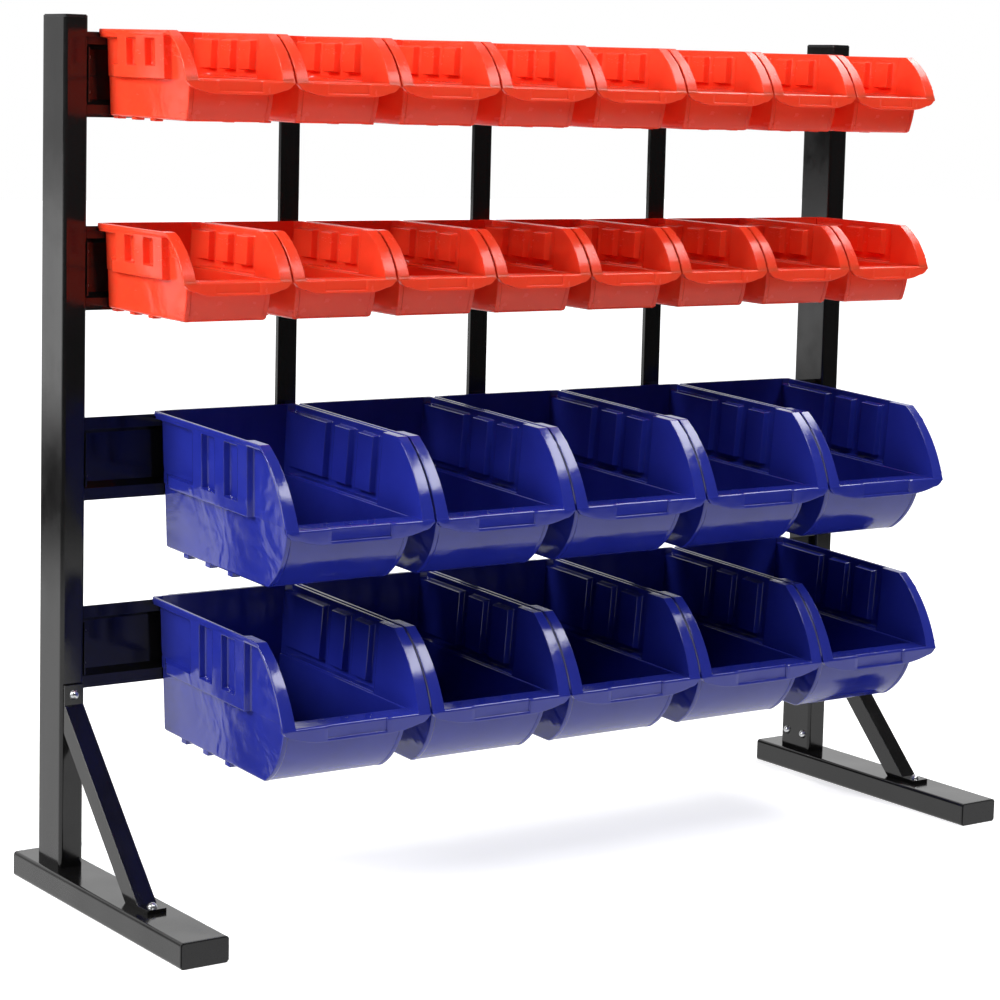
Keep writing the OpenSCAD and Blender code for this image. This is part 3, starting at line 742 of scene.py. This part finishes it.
def studio(name, behind, dark):
    """White to the camera, and for light and reflections a white backdrop in a dim room.

    behind is the direction in which the backdrop stands, and dark is the room's level.
    """
    world = bpy.data.worlds.new(name)
    bpy.context.scene.world = world
    world.use_nodes = True
    tree = world.node_tree
    tree.nodes.clear()
    out = tree.nodes.new("ShaderNodeOutputWorld")
    coords = tree.nodes.new("ShaderNodeTexCoord")
    side = tree.nodes.new("ShaderNodeVectorMath")
    side.operation = "DOT_PRODUCT"
    side.inputs[1].default_value = behind
    level = tree.nodes.new("ShaderNodeMapRange")
    level.interpolation_type = "SMOOTHSTEP"
    level.inputs["From Min"].default_value = BACKDROP_EDGE[0]
    level.inputs["From Max"].default_value = BACKDROP_EDGE[1]
    level.inputs["To Min"].default_value = dark
    level.inputs["To Max"].default_value = 1.0
    room = tree.nodes.new("ShaderNodeBackground")
    white = tree.nodes.new("ShaderNodeBackground")
    for plain in (room, white):
        plain.inputs["Color"].default_value = (1, 1, 1, 1)
    path = tree.nodes.new("ShaderNodeLightPath")
    mix = tree.nodes.new("ShaderNodeMixShader")
    tree.links.new(coords.outputs["Generated"], side.inputs[0])
    tree.links.new(side.outputs["Value"], level.inputs["Value"])
    tree.links.new(level.outputs["Result"], room.inputs["Strength"])
    direct = tree.nodes.new("ShaderNodeMath")
    direct.operation = "MAXIMUM"
    tree.links.new(path.outputs["Is Camera Ray"], direct.inputs[0])
    tree.links.new(path.outputs["Is Transmission Ray"], direct.inputs[1])
    tree.links.new(direct.outputs["Value"], mix.inputs["Fac"])
    tree.links.new(room.outputs["Background"], mix.inputs[1])
    tree.links.new(white.outputs["Background"], mix.inputs[2])
    tree.links.new(mix.outputs["Shader"], out.inputs["Surface"])


studio("studio", behind=(0.586, 0.810, 0.0), dark=0.08)


def lamp(name, at, to, size, watts):
    """A soft box at one place that faces another."""
    data = bpy.data.lights.new(name, "AREA")
    data.shape = "RECTANGLE"
    data.size, data.size_y = size
    data.energy = watts
    made = bpy.data.objects.new(name, data)
    bpy.context.scene.collection.objects.link(made)
    made.location = at
    made.rotation_euler = (Vector(to) - Vector(at)).to_track_quat("-Z", "Y").to_euler()


lamp("key", (-2.9, 0.25, 1.95), (0, 0, 0.45), (1.2, 1.3), 96)
lamp("top", (1.5, -0.5, 2.3), (0.2, -0.1, 0.45), (2.8, 0.56), 34)
lamp("fill", (-0.6, -1.6, 2.9), (0, -0.15, 0.4), (1.2, 1.2), 44)


# Camera at the photograph's angle, fitted to the rack's straight edges

FOCAL_PX = 2764.48
CENTRE_PX = (550.0, 400.0)
IMAGE_PX = 1000.0
RIGHT = Vector((0.81173, -0.58345, 0.02614))
DOWN = Vector((-0.04431, -0.10615, -0.99336))
AHEAD = Vector((0.58235, 0.80518, -0.11202))
EYE = Vector((-1.67510, -2.33170, 0.80236))

lens = bpy.data.cameras.new("camera")
lens.sensor_fit = "HORIZONTAL"
lens.sensor_width = 36.0
lens.lens = FOCAL_PX / IMAGE_PX * lens.sensor_width
lens.shift_x = 0.5 - CENTRE_PX[0] / IMAGE_PX
lens.shift_y = CENTRE_PX[1] / IMAGE_PX - 0.5
lens.clip_start, lens.clip_end = 0.05, 100
camera = bpy.data.objects.new("camera", lens)
bpy.context.scene.collection.objects.link(camera)
turn = Matrix((RIGHT, -DOWN, -AHEAD)).transposed().to_4x4()
camera.matrix_world = Matrix.Translation(EYE) @ turn
bpy.context.scene.camera = camera
bpy.context.scene.view_settings.view_transform = "Standard"
